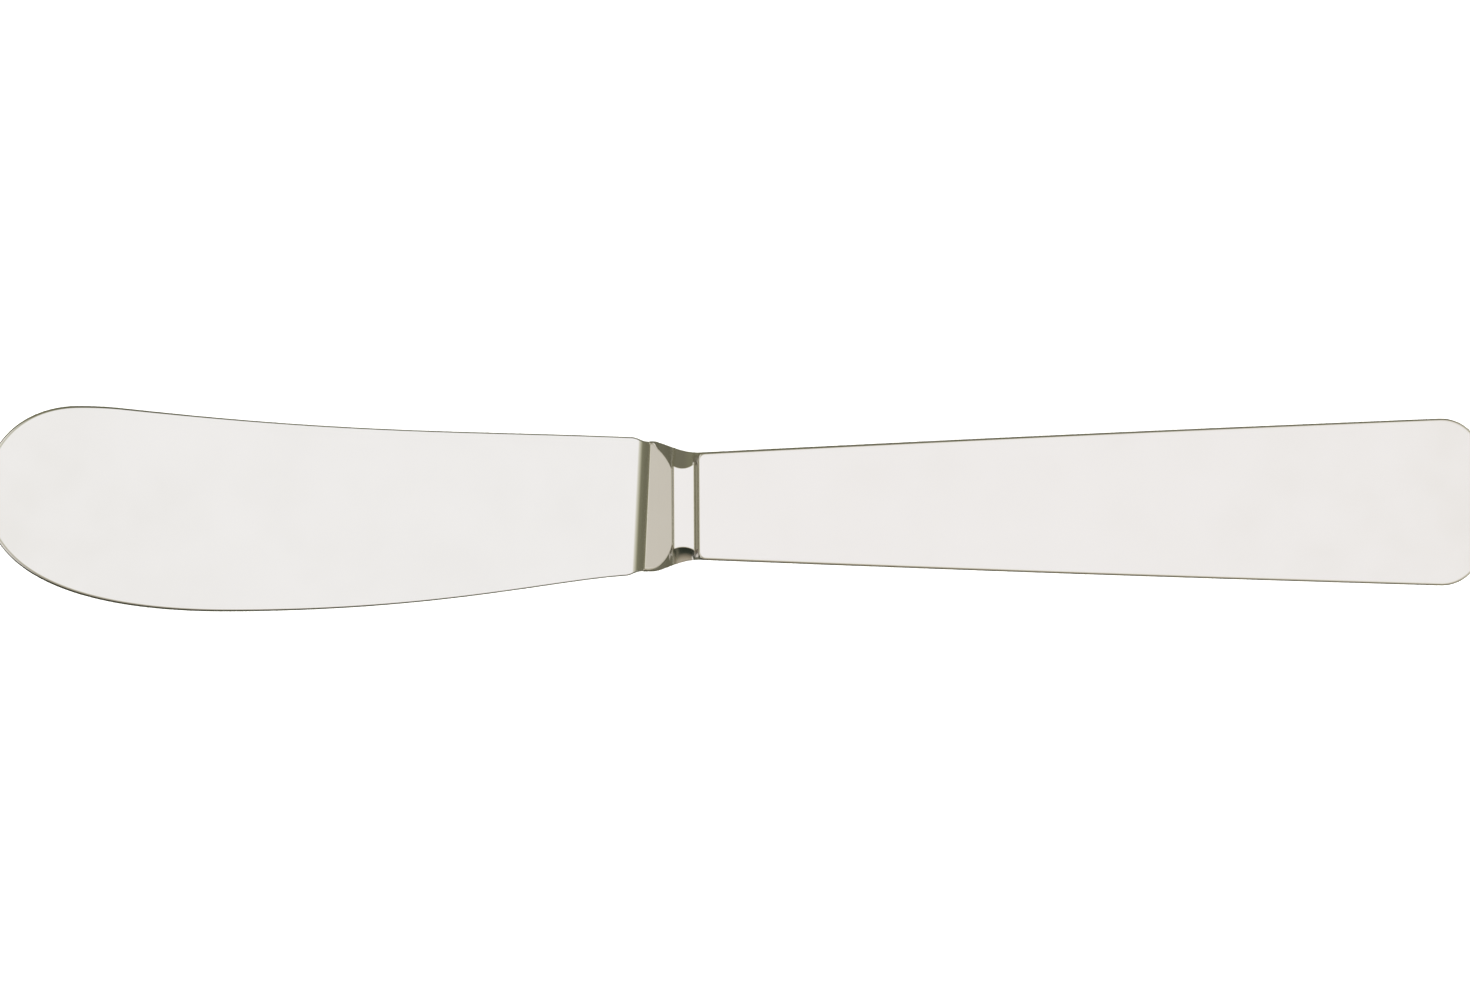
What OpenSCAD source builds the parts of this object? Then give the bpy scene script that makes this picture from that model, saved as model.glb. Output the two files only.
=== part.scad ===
// Butter knife with a hollow handle, lying flat on the back of its handle.
// X runs from the tip of the blade to the butt, Y towards the spine, Z up.
// The handle is two pressed half shells, soldered rim to rim round a core of
// cement that grips the tang of the blade.

/* [Blade] */
// Length of the blade, from its tip to the mouth of the handle
blade_l = 75.35; // [65:0.5:90]
// Height of the spine over the centre line at the heel
heel_rise = 7.9; // [7.6:0.05:8.6]
// Depth of the edge under the centre line at the heel
heel_drop = 7.9; // [7.5:0.05:8.6]
// Length of the rounded heel, beside the mouth of the handle
heel_l = 2.25; // [1.8:0.1:3.5]
// Height of the crown, the spine's highest point, over the centre line
crown_rise = 11.8; // [9:0.1:14]
// Distance of the crown from the tip
crown_l = 10.7; // [9:0.1:14]
// Distance from the tip of the shoulder, where the spine begins to curve up
shoulder_l = 16; // [14.5:0.5:19]
// Height of the crown over that shoulder
shoulder_drop = 0.31; // [0.2:0.01:0.45]
// Depth of the belly, the edge's lowest point, under the centre line
belly_drop = 11.7; // [9:0.1:14]
// Distance of the belly's lowest point from the tip
belly_l = 28; // [20:0.5:36]
// Height of the tip over the centre line
tip_rise = 1.8; // [-1:0.1:4]
// Thickness of the spine at the heel
spine_t = 1.8; // [1.5:0.05:2.1]
// Thickness of the dull edge at the heel
edge_t = 0.7; // [0.5:0.05:1.2]
// Thickness of the blade at its tip
tip_t = 0.9; // [0.6:0.05:1.3]
// Width over which the spine and the edge are rounded off at the heel
blade_edge_w = 0.15; // [0.1:0.05:0.3]
// The same width at the tip
tip_edge_w = 0.55; // [0.3:0.05:0.7]
// Length of the root, where the blade thickens towards the handle
root_l = 1.35; // [1.1:0.05:2]
// Thickness of the root where it meets the handle
root_t = 3.2; // [3:0.1:3.8]

/* [Tang] */
// Length of the tang inside the handle
tang_l = 46; // [40:1:60]
// Width of the tang at its end
tang_end_w = 5; // [4:0.1:6]
// Distance between the pairs of notches that key the tang into the cement
notch_pitch = 12; // [10:0.5:13]
// Radius of each notch
notch_r = 0.9; // [0.5:0.1:1.2]

/* [Handle] */
// Length of the handle, from its mouth to its butt
handle_l = 94.65; // [80:0.5:115]
// Thickness of the handle over its two flat faces
handle_t = 6; // [5.8:0.1:7]
// Width of the handle at its butt
butt_w = 18.9; // [17:0.1:21]
// Outward bow of the handle's sides
side_bow = 0.12; // [0:0.02:0.3]
// Radius of the two corners of the butt
butt_corner_r = 4.6; // [3:0.1:6]
// Radius of the slight bow across the end of the butt
butt_end_r = 90; // [60:5:200]
// Width of the rounded rims beside the flat faces, at the neck
face_edge_w = 0.32; // [0.2:0.02:0.6]
// The same width at the butt
butt_edge_w = 0.25; // [0.15:0.01:0.5]
// Radius of the face's two corners at the neck
face_corner_r = 0.7; // [0.4:0.1:1.2]
// Thickness of the pressed sheet
wall_t = 0.8; // [0.6:0.05:0.9]

/* [Neck] */
// Width of the collar at the mouth of the handle
collar_w = 14.74; // [14.4:0.1:15.4]
// Thickness of the collar at its crest
collar_t = 5.6; // [5.3:0.1:5.7]
// Length of the collar before its sides draw in
collar_l = 0.85; // [0.5:0.05:1]
// Width of the rounded rim of the collar
collar_edge_w = 0.35; // [0.2:0.05:0.6]
// Distance from the mouth at which its lean and the round rim have died away
collar_fade_l = 1.4; // [1:0.1:2]
// Angle by which the mouth leans, forward at the edge side
mouth_slant = 3; // [0:0.5:4]
// Distance of the crest from the mouth, and so the bevel in front of it
crest_l = 0.15; // [0.1:0.05:0.4]
// Width of the rounded pad behind the crest
pad_w = 14.6; // [13:0.1:15]
// Width of the pad where its rounded corners end
pad_end_w = 8; // [7:0.1:9]
// Distance from the mouth to the end of the pad
pad_l = 2.9; // [2.4:0.05:3.1]
// Downward slope of the pad, from the crest to its end
pad_slope = 11; // [8:0.5:12]
// Length of the small step from the pad down to the neck
pad_step_l = 0.2; // [0.15:0.05:0.4]
// Thickness of the neck over its two small flats
neck_t = 4.2; // [4:0.05:4.4]
// Distance from the mouth to the foot of the step up to the handle
neck_l = 5.4; // [4.8:0.1:5.6]
// Width of the flats between the scallops at their narrowest
neck_flat_w = 8.6; // [8.2:0.1:9.2]
// Radius of the scallops beside the flats, seen from above
scallop_r = 2; // [1.8:0.1:4]
// Distance of the scallops' deepest place from the mouth
scallop_l = 4.1; // [3.8:0.1:4.4]
// Angle between a scallop and the flat beside it
scallop_slope = 34; // [30:1:38]
// Length of the step up from the neck to the face of the handle
riser_l = 0.4; // [0.3:0.05:0.8]
// Height of the rounding at the top of that step
riser_round = 0.1; // [0.05:0.05:0.3]
// Width of the handle at its narrowest
waist_w = 12.16; // [11.8:0.1:12.8]
// Distance of the narrowest place from the mouth
waist_l = 6.05; // [5.4:0.05:6.5]
// Least height of the handle's upright sides over the middle plane
side_h = 0.35; // [0.25:0.05:0.5]

/* [Filling] */
// Thickness of the solder between the two rims
seam_t = 0.12; // [0.08:0.01:0.2]
// Least height of the cavity's upright sides over the middle plane
cavity_side_h = 0.25; // [0.15:0.05:0.4]
// Width of the rounded corners of the cavity
cavity_edge_w = 0.3; // [0.2:0.05:0.5]
// Cement over and under the tang in the neck
tang_cover = 0.2; // [0.15:0.05:0.3]
// Cement beside the tang in the neck
tang_side_gap = 1.3; // [1.1:0.1:1.6]
// Clearance round the tang in the mouth of the handle
mouth_gap = 0.1; // [0.05:0.01:0.15]

/* [Hidden] */
$fn = 48;

// Where the curves of the blade have their handles, as shares of their spans
spine_handle_shares = [0.31, 0.45];
crown_handle_share = 0.65;
nose_handle_shares = [0.57, 0.61];
edge_handle_shares = [0.2, 0.52];
chin_handle_shares = [0.675, 0.63];
heel_handle_shares = [0.5, 0.55];
// How far the spine has risen and the edge has dropped at the first handles
spine_rise_share = 0.235;
edge_drop_share = 0.17;
// How late the rims widen towards the tip, at the spine and at the edge
tip_edge_powers = [8, 2.5];
// How early the sides draw in to the waist: 1 would be an even wave
waist_power = 0.744;
// How square the pad's corners are, at the spine side and at the edge side:
// 2 would be a quarter of an ellipse
pad_powers = [1.4, 1.7];
// Place of the tang's first pair of notches, as a share of their pitch
notch_start_share = 1.35;
notch_pairs = 3;
// Share of the root's length by which the tang starts inside it
tang_bury_share = 0.2;

// Steps along each stretch of an outline, and up each rounded rim
heel_steps = 8;
spine_steps = 18;
crown_steps = 6;
edge_steps = spine_steps + crown_steps;
nose_steps = 18;
blade_rim_steps = 6;
pad_steps = 8;
neck_steps = 6;
face_corner_steps = 4;
grip_steps = 8;
corner_steps = 12;
end_steps = 4;
handle_rim_steps = 5;

// The tang fits the channel through the neck
tang_t = neck_t - 2 * wall_t - 2 * tang_cover;
tang_w = waist_w - 2 * wall_t - 2 * tang_side_gap;
// One overrun serves every cut
overrun = handle_t;
reach = blade_l + handle_l;

function lerp(a, b, share) = a + (b - a) * share;
function flipped(points) = [for (i = [len(points) - 1:-1:0]) points[i]];
function flat(points) = [for (p = points) [p.x, p.y]];
function bezier(p, s) =
    pow(1 - s, 3) * p[0] + 3 * pow(1 - s, 2) * s * p[1]
    + 3 * (1 - s) * s * s * p[2] + pow(s, 3) * p[3];
// Both leave out their first point: the stretch before ends there
function curve(p, steps) = [for (i = [1:steps]) bezier(p, i / steps)];
function between(a, b, steps) = [for (i = [1:steps]) lerp(a, b, i / steps)];

// The mouth is a plane across the knife that leans by mouth_slant
function mouth_x(y) = y * tan(mouth_slant);
function from_mouth(distance, y) = [mouth_x(y) - distance, y];
function mouth_distance(p) = mouth_x(p.y) - p.x;

// A solid whose outline runs from the mouth all round to the mouth again,
// anticlockwise from above. Each place of the outline has a column of points
// from the back face up to the front face. The columns on the two sides of
// the knife face each other as mates, and the faces lie between the mates.
module lofted(columns) {
    ring = len(columns[0]);
    end = len(columns) - 1;
    half = end / 2;
    rims = [for (i = [0:end - 1]) for (k = [0:ring - 2])
        [i * ring + k, i * ring + k + 1, (i + 1) * ring + k + 1, (i + 1) * ring + k]];
    faces = [for (k = [0, ring - 1]) for (i = [0:half - 1])
        let (mate = end - i, here = i * ring + k, next = here + ring, across = mate * ring + k,
             face = i < half - 1 ? [here, across, across - ring, next] : [here, across, next])
        k == 0 ? flipped(face) : face];
    mouth = concat([for (k = [ring - 1:-1:0]) k], [for (k = [0:ring - 1]) end * ring + k]);
    polyhedron([for (column = columns) each column], concat(rims, faces, [mouth]));
}

// Outline of the blade, in stretches that meet smoothly
tip = [-blade_l, tip_rise];
crown = [crown_l - blade_l, crown_rise];
shoulder = [shoulder_l - blade_l, crown_rise - shoulder_drop];
belly = [belly_l - blade_l, -belly_drop];

// From the mouth round the heel: side is 1 at the spine and -1 at the edge
function heel_curve(side) =
    let (y0 = side * collar_w / 2, y1 = side > 0 ? heel_rise : -heel_drop)
    concat([from_mouth(0, y0)],
        curve([from_mouth(0, y0), from_mouth(heel_l * heel_handle_shares[0], y0),
               from_mouth(heel_l * heel_handle_shares[1], y1), from_mouth(heel_l, y1)], heel_steps));

// The bend from the shoulder up to the crown: both of its handles point at the
// place where the directions of its ends meet
crown_bend = [(shoulder.x + crown.x) / 2, crown.y];
function crown_curve() =
    curve([shoulder, lerp(shoulder, crown_bend, crown_handle_share),
           lerp(crown, crown_bend, crown_handle_share), crown], crown_steps);

function spine_curve() =
    let (heel = from_mouth(heel_l, heel_rise), span = heel.x - shoulder.x,
         along = (shoulder - crown_bend) / (shoulder.x - crown_bend.x))
    curve([heel, [heel.x - span * spine_handle_shares[0], lerp(heel.y, shoulder.y, spine_rise_share)],
           shoulder + along * span * spine_handle_shares[1], shoulder], spine_steps);

function nose_curve() =
    curve([crown, [lerp(crown.x, tip.x, nose_handle_shares[0]), crown.y],
           [tip.x, lerp(tip.y, crown.y, nose_handle_shares[1])], tip], nose_steps);

function edge_curve() =
    let (heel = from_mouth(heel_l, -heel_drop), span = heel.x - belly.x)
    curve([heel, [heel.x - span * edge_handle_shares[0], lerp(heel.y, belly.y, edge_drop_share)],
           [belly.x + span * edge_handle_shares[1], belly.y], belly], edge_steps);

function chin_curve() =
    curve([belly, [lerp(belly.x, tip.x, chin_handle_shares[0]), belly.y],
           [tip.x, lerp(tip.y, belly.y, chin_handle_shares[1])], tip], nose_steps);

spine_rail = concat(heel_curve(1), spine_curve(), crown_curve(), nose_curve());
edge_rail = concat(heel_curve(-1), edge_curve(), chin_curve());
// Both rails have as many points, and they share the last one, the tip
rail_end = len(spine_rail) - 1;
blade_outline = concat(spine_rail, [for (i = [rail_end - 1:-1:0]) edge_rail[i]]);
outline_end = len(blade_outline) - 1;

// Direction into the blade at a point of its outline
function inward(i) =
    i == 0 ? [-sin(mouth_slant), -cos(mouth_slant)] :
    i == outline_end ? [sin(mouth_slant), cos(mouth_slant)] :
    let (along = blade_outline[i + 1] - blade_outline[i - 1]) [-along.y, along.x] / norm(along);

// Half the thickness: a long taper, and a fillet where the root thickens
function root_share(distance) =
    distance >= root_l ? 0 : 1 - sqrt(1 - pow(1 - max(distance, 0) / root_l, 2));
function half_blade_t(i) =
    let (away = mouth_distance(blade_outline[i]),
         plain = lerp(i <= rail_end ? spine_t : edge_t, tip_t, away / blade_l))
    lerp(plain, root_t, root_share(away)) / 2;

// Width of the rounded rim beside the blade's flat side
function rim_w(i) =
    let (share = max(0, mouth_distance(blade_outline[i])) / blade_l)
    lerp(blade_edge_w, tip_edge_w, pow(share, i <= rail_end ? tip_edge_powers[0] : tip_edge_powers[1]));

function blade_column(i) =
    let (p = blade_outline[i], in = inward(i) * rim_w(i), half = half_blade_t(i))
    [for (k = [0:blade_rim_steps])
        let (a = lerp(-90, 90, k / blade_rim_steps), q = p + in * (1 - cos(a)))
        [q.x, q.y, half * sin(a)]];

// The tang narrows towards its end and is notched to key into the cement
module tang() {
    bury = root_l * tang_bury_share;
    linear_extrude(tang_t, center = true)
        difference() {
            hull() {
                translate([-bury, -tang_w / 2]) square([bury, tang_w]);
                translate([tang_l - tang_end_w / 2, 0]) circle(d = tang_end_w);
            }
            for (i = [0:notch_pairs - 1], side = [-1, 1]) {
                x = notch_pitch * (notch_start_share + i);
                translate([x, side * lerp(tang_w, tang_end_w, x / tang_l) / 2]) circle(notch_r);
            }
        }
}

// Centres of the butt's corners and of the bow between them
corner_y = butt_w / 2 - butt_corner_r;
end_x = handle_l - butt_end_r;
corner_x = end_x + sqrt(pow(butt_end_r - butt_corner_r, 2) - corner_y * corner_y);
end_a = asin(corner_y / (butt_end_r - butt_corner_r));

// Half the width of the handle: collar, waist and then a bowed widening
function half_w(x) =
    let (s = min(1, max(0, (x - collar_l) / (waist_l - collar_l))), t = (x - waist_l) / (corner_x - waist_l))
    x < waist_l ? lerp(collar_w, waist_w, (1 - cos(180 * pow(s, waist_power))) / 2) / 2
        : lerp(waist_w, butt_w, t) / 2 + side_bow * sin(180 * t);

// Height of the face along the handle, outside and in the cavity
pad_end_z = collar_t / 2 - (pad_l - crest_l) * tan(pad_slope);
riser_end = neck_l + riser_l + 2 * riser_round;
face_heights = [
    [0, collar_t / 2 - crest_l], [crest_l, collar_t / 2], [pad_l, pad_end_z],
    [pad_l + pad_step_l, neck_t / 2], [neck_l, neck_t / 2],
    [neck_l + riser_l, handle_t / 2 - riser_round], [riser_end, handle_t / 2]];
cavity_heights = [
    [neck_l + wall_t, neck_t / 2 - wall_t], [riser_end + wall_t, handle_t / 2 - wall_t]];

// Half the width of the face: the pad, the flat between the scallops, and the
// grip, whose face has round corners at the neck. Side is 1 at the spine and
// -1 at the edge.
function pad_half_w(x, side) =
    let (power = side > 0 ? pad_powers[0] : pad_powers[1])
    lerp(pad_end_w, pad_w, pow(1 - pow(min(1, x / pad_l), power), 1 / power)) / 2;
function flat_half_w(x) =
    neck_flat_w / 2 + scallop_r - sqrt(max(0, scallop_r * scallop_r - pow(x - scallop_l, 2)));
function neck_half_w(x, side) =
    min(half_w(x) - collar_edge_w, x <= pad_l ? pad_half_w(x, side) :
        lerp(pad_end_w / 2, flat_half_w(x), min(1, (x - pad_l) / pad_step_l)));
function grip_half_w(x) =
    let (short = max(0, min(face_corner_r, riser_end + face_corner_r - x)),
         edge_w = lerp(face_edge_w, butt_edge_w, max(0, x - waist_l) / (corner_x - waist_l)))
    half_w(x) - edge_w - face_corner_r + sqrt(pow(face_corner_r, 2) - pow(short, 2));
function face_half_w(x, side) =
    x <= neck_l ? neck_half_w(x, side) :
    lerp(neck_half_w(neck_l, side), grip_half_w(x), min(1, (x - neck_l) / riser_l));

// The rim at a place along the handle: how far its lower end lies in from
// the side, how high that end is, and the same for its upper end
function outer_rim(x, side) =
    let (top = lookup(x, face_heights), in = half_w(x) - face_half_w(x, side))
    [0, max(top - in * tan(scallop_slope), side_h), in, top];

// In the cavity the rim keeps the wall's thickness from the outer rim
function cavity_rim(x, side) =
    let (outer = outer_rim(x, side), slope = atan2(outer[3] - outer[1], outer[2]),
         w = half_w(x), top = lookup(x, cavity_heights),
         plane = (w - outer[2]) * sin(slope) + outer[3] * cos(slope) - wall_t,
         wide = min(w - wall_t, (plane - cavity_side_h * cos(slope)) / sin(slope)),
         low = min((plane - wide * sin(slope)) / cos(slope), top - cavity_edge_w),
         edge = min((plane - top * cos(slope)) / sin(slope), wide - cavity_edge_w))
    [w - wide, low, w - edge, top];

// The rim is round at the collar and along the grip, and flat at a scallop
rim_rounding = [[crest_l, 1], [collar_fade_l, 0], [neck_l, 0], [neck_l + riser_l, 1]];
function rim_points(rim, rounding) =
    [for (k = [0:handle_rim_steps])
        let (t = k / handle_rim_steps, a = 90 * t)
        [lerp(rim[0], rim[2], lerp(t, 1 - cos(a), rounding)),
         lerp(rim[1], rim[3], lerp(t, sin(a), rounding))]];

// Places along the handle's sides, outside and in the cavity
outer_xs = concat([0, crest_l, collar_l], between(collar_l, pad_l, pad_steps), [pad_l + pad_step_l],
    between(pad_l + pad_step_l, neck_l, neck_steps),
    [neck_l + riser_l, riser_end], between(riser_end, riser_end + face_corner_r, face_corner_steps),
    between(riser_end + face_corner_r, corner_x, grip_steps));
cavity_xs = concat([wall_t], between(wall_t, pad_l, pad_steps), [pad_l + pad_step_l],
    between(pad_l + pad_step_l, neck_l, neck_steps),
    [neck_l + wall_t, riser_end + wall_t], between(riser_end + wall_t, corner_x, grip_steps));

// Each place of the handle's outline is its x and y and the direction inward
function butt_places() = concat(
    [for (a = between(-90, -end_a, corner_steps))
        [corner_x + butt_corner_r * cos(a), -corner_y + butt_corner_r * sin(a), -cos(a), -sin(a)]],
    [for (a = between(-end_a, 0, end_steps))
        [end_x + butt_end_r * cos(a), butt_end_r * sin(a), -cos(a), -sin(a)]]);
function places(xs) =
    let (edge_side = concat([for (x = xs) [x, -half_w(x), 0, 1]], butt_places()))
    concat(edge_side, [for (i = [len(edge_side) - 2:-1:0])
        let (p = edge_side[i]) [p[0], -p[1], p[2], -p[3]]]);

// The mouth's lean dies away behind the crest
lean_shares = [[crest_l, 1], [collar_fade_l, 0]];
function leaned(p) = [p.x + mouth_x(p.y) * lookup(p.x, lean_shares), p.y, p.z];
function handle_column(place, rim) =
    [for (r = rim) leaned([place[0] + place[2] * r[0], place[1] + place[3] * r[0], r[1]])];

function outer_columns() = [for (p = places(outer_xs))
    let (x = min(p[0], corner_x), rim = rim_points(outer_rim(x, sign(p[1])), lookup(x, rim_rounding)))
    handle_column(p, concat([[0, seam_t / 2]], rim))];
// The cavity of one shell starts far below, that of both is mirrored
function cavity_columns(whole) = [for (p = places(cavity_xs))
    let (x = min(p[0], corner_x), rim = rim_points(cavity_rim(x, sign(p[1])), lookup(x, rim_rounding)),
         back = whole ? [for (r = flipped(rim)) [r[0], -r[1]]] : [[rim[0][0], -overrun]])
    handle_column(p, concat(back, rim))];

// One pressed half of the handle, its rim half a seam over the middle plane
module half_shell() {
    difference() {
        lofted(outer_columns());
        lofted(cavity_columns(false));
        tang_slot();
    }
}

// The way in for the tang, through the end wall at the mouth
module tang_slot() {
    width = tang_w + 2 * mouth_gap;
    height = tang_t + 2 * mouth_gap;
    translate([-overrun, -width / 2, -height / 2])
        cube([overrun + pad_l, width, height]);
}

// Everything is drawn about the mouth and the middle plane, then moved so
// that the back face lies at zero and the origin is under the box's middle.
module in_place() {
    translate([blade_l - reach / 2, (belly_drop - crown_rise) / 2, handle_t / 2]) children();
}

// Forged stainless steel: leaf, root and tang in one piece
module blade() {
    color("lightgray")
        in_place()
            union() {
                lofted([for (i = [0:outline_end]) blade_column(i)]);
                tang();
            }
}

module front_shell() {
    color("silver") in_place() half_shell();
}

module back_shell() {
    color("silver") in_place() mirror([0, 0, 1]) half_shell();
}

// A film between the two rims, all round but for the tang
module solder_seam() {
    color("darkgray")
        in_place()
            difference() {
                linear_extrude(seam_t, center = true)
                    difference() {
                        polygon(flat([for (column = outer_columns()) column[0]]));
                        polygon(flat([for (column = cavity_columns(false)) column[0]]));
                    }
                tang_slot();
            }
}

// Cement fills the cavity round the tang
module cement_core() {
    color("tan")
        in_place()
            difference() {
                lofted(cavity_columns(true));
                tang();
            }
}

blade();
front_shell();
back_shell();
solder_seam();
cement_core();
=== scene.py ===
"""A butter knife with a soldered hollow handle, dressed for a studio picture."""

import math

import bmesh
import bpy
from bpy.props import FloatProperty, FloatVectorProperty, PointerProperty
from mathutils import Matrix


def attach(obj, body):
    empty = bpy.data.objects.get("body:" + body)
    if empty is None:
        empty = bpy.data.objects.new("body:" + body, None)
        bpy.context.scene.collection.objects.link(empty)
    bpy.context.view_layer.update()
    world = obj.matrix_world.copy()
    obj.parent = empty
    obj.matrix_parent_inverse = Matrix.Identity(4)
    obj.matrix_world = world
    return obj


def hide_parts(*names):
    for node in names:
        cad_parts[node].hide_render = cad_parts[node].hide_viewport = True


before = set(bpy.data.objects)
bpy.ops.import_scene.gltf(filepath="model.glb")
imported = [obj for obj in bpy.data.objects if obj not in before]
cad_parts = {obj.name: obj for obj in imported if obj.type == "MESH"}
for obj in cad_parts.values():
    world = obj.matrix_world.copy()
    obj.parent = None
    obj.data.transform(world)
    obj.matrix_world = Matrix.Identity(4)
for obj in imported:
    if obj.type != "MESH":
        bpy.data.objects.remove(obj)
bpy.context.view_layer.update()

bl_info = {
    "name": "Hollow Handled Butter Knife",
    "version": (1, 0, 0),
    "blender": (4, 5, 0),
    "location": "View3D > Sidebar > Butter Knife",
    "description": "Builds the blade, the pressed handle and its solder, and a studio round them",
    "category": "Add Mesh",
}

MM = 0.001
HALF_TURN = 180
BODY = "root"

# Steps along each stretch of an outline, and up each rounded rim
HEEL_STEPS = 24
SPINE_STEPS = 44
CROWN_STEPS = 16
EDGE_STEPS = SPINE_STEPS + CROWN_STEPS
NOSE_STEPS = 48
BLADE_RIM_STEPS = 16
NECK_STEPS = 160
GRIP_STEPS = 40
CORNER_STEPS = 24
END_STEPS = 10
HANDLE_RIM_STEPS = 14
CREASE_STEPS = 4
RISER_STEPS = 12
NOTCH_STEPS = 10
TANG_END_STEPS = 16

# Where the curves of the blade have their handles, as shares of their spans
SPINE_HANDLE_SHARES = (0.31, 0.45)
CROWN_HANDLE_SHARE = 0.65
NOSE_HANDLE_SHARES = (0.57, 0.61)
EDGE_HANDLE_SHARES = (0.2, 0.52)
CHIN_HANDLE_SHARES = (0.675, 0.63)
HEEL_HANDLE_SHARES = (0.5, 0.55)
# How far the spine has risen and the edge has dropped at the first handles
SPINE_RISE_SHARE = 0.235
EDGE_DROP_SHARE = 0.17
# How much of the root is a fillet, and how late the fillet begins to rise
ROOT_FILLET_SHARE = 0.75
ROOT_FILLET_POWER = 2.5
# How late the rims widen towards the tip, at the spine and at the edge
TIP_RIM_POWERS = (8, 2.5)
# How early the sides draw in to the waist: 1 would be an even wave
WAIST_POWER = 0.744
# How square the pad's corners are, at the spine side and at the edge side:
# 2 would be a quarter of an ellipse
PAD_POWERS = (1.4, 1.7)
# How far in on the face the wear of its crease has ended, in reaches
CALM_SHARE = 2.5
# How much softer the lower part of a rim is along the handle than a crease
BLUR_SHARE = 5
# How much wider the flat is at the edge side, and how much larger that scallop's radius
EDGE_FLAT_SHARE = 1.08
EDGE_SCALLOP_SHARE = 1.3
# How much flatter the hollow of a scallop starts at the side of the handle, as
# a change of its slope, at the spine side and at the edge side, and how suddenly
# it steepens at the flat
SCALLOP_DISH_SHARES = (0.04, 0.36)
SCALLOP_DISH_POWER = 1.2
# Over how many lengths of the pad's step the hollow begins
HOLLOW_START_STEPS = 3
# Place of the tang's first pair of notches, as a share of their pitch
NOTCH_START_SHARE = 1.35
NOTCH_PAIRS = 3
# Places over which a curve is averaged to soften its corners, as shares of the reach
SOFTENING_SHARES = (-1, -0.75, -0.5, -0.25, 0, 0.25, 0.5, 0.75, 1)
# Edges that bend by more than this stay sharp
SHARP_ANGLE = math.radians(35)
# A bend of this radius is fully worn, and on the silver plate fully darkened with painted shade
WEAR_AND_SHADE_RADIUS = 0.25 * MM

# Sizes of the marks on the surfaces
SMEAR_SPACING = 7 * MM
POLISH_LINE_L = 12 * MM
POLISH_LINE_W = 0.15 * MM
POLISH_DEPTH = 0.001 * MM
BUFF_GRAIN = 0.3 * MM
PIT_SPACING = 3 * MM
PIT_R = 0.06 * MM
SOLDER_GRAIN = 0.2 * MM
CEMENT_GRIT = 0.5 * MM
PAPER_FIBRE = 1.5 * MM
# How dark a smear and a pit are
SMEAR_SHARE = 0.97
PIT_SHARE = 0.8

# The picture: its width in pixels, its scale at the knife's middle plane, its middle
PHOTO_W = 1470
PIXELS_PER_METRE = 8790
VIEW_X = 0.40 * MM
VIEW_Y = 1.70 * MM
VIEW_PLANE_Z = 3 * MM
# How far the knife lies turned anticlockwise, in degrees
KNIFE_TURN = 0.32
LENS = 100
SENSOR_W = 36

# The studio
FLOOR_R = 4
COVE_R = 1.5
COVE_STEPS = 12
FLOOR_SIDES = 96
LAMP_PLACE = (0, 0, 1.6)
LAMP_SIZE = 1.6
LAMP_POWER = 62
ROOM_STRENGTH = 1.08
# Light from overhead down to the nadir, in degrees from the zenith. The metal
# shows the light of twice its slope when it is seen from above.
CEILING_LIGHT = ((0, "#FFFFFF"), (11, "#FFFFFF"), (15, "#F1EFE6"), (20, "#D3CFC3"))
SPINE_SIDE_LIGHT = (*CEILING_LIGHT, (27, "#A9A896"), (36, "#787765"), (46, "#6A6859"), (62, "#777564"),
                    (85, "#6F6F5A"), (102, "#5D5E49"), (125, "#565644"), (180, "#A09E90"))
EDGE_SIDE_LIGHT = (*CEILING_LIGHT, (27, "#BDBCAA"), (36, "#B6B09F"), (48, "#ABA392"), (59, "#8E8674"),
                   (76, "#33382F"), (94, "#2C3028"), (112, "#55574A"), (180, "#A09E90"))
BUTT_SIDE_LIGHT = (*CEILING_LIGHT, (32, "#C8C5B8"), (50, "#B8B5A8"), (58, "#94927E"), (68, "#777563"),
                   (95, "#6F6E5D"), (125, "#6A6957"), (180, "#A09E90"))
TIP_SIDE_LIGHT = ((0, "#FFFFFF"), (11, "#FFFFFF"), (15, "#F1F0E8"), (24, "#DDDCCE"), (36, "#C4C3AF"),
                  (47, "#ACAB94"), (57, "#908F78"), (66, "#7E7D67"), (100, "#76755F"), (130, "#76755F"),
                  (180, "#A09E90"))
SOFT_BOX_LIGHT = "#F4F2EC"
# How far a direction has turned to a side where that side's light begins and is full
TIP_TURN = ("X", -0.1, -0.4)
EDGE_TURN = ("Y", 0, -0.4)
BUTT_TURN = ("X", 0.12, 0.45)
# The soft boxes: where their light begins and is full, as the slopes along X and Y
# that mirror it overhead, and as the height over the horizon
SOFT_BOX_BORDERS = (("X", 0.36, 0.44), ("Y", 0.14, 0.2), ("Y", 0.58, 0.52))
SOFT_BOX_FOOT = 0.05


def linear(hex_colour):
    """Turns an sRGB hex value into the linear colour that Blender works in."""
    channels = [int(hex_colour[i:i + 2], 16) / 255 for i in (1, 3, 5)]
    return [c / 12.92 if c <= 0.04045 else ((c + 0.055) / 1.055) ** 2.4 for c in channels]


def length(name, description, millimetres):
    return FloatProperty(name=name, description=description, default=millimetres * MM,
                         unit="LENGTH", precision=5)


def angle(name, description, degrees):
    return FloatProperty(name=name, description=description, default=math.radians(degrees),
                         subtype="ANGLE", unit="ROTATION")


def colour(name, description, hex_colour):
    return FloatVectorProperty(name=name, description=description, default=linear(hex_colour),
                               subtype="COLOR", size=3, min=0, max=1)


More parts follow.
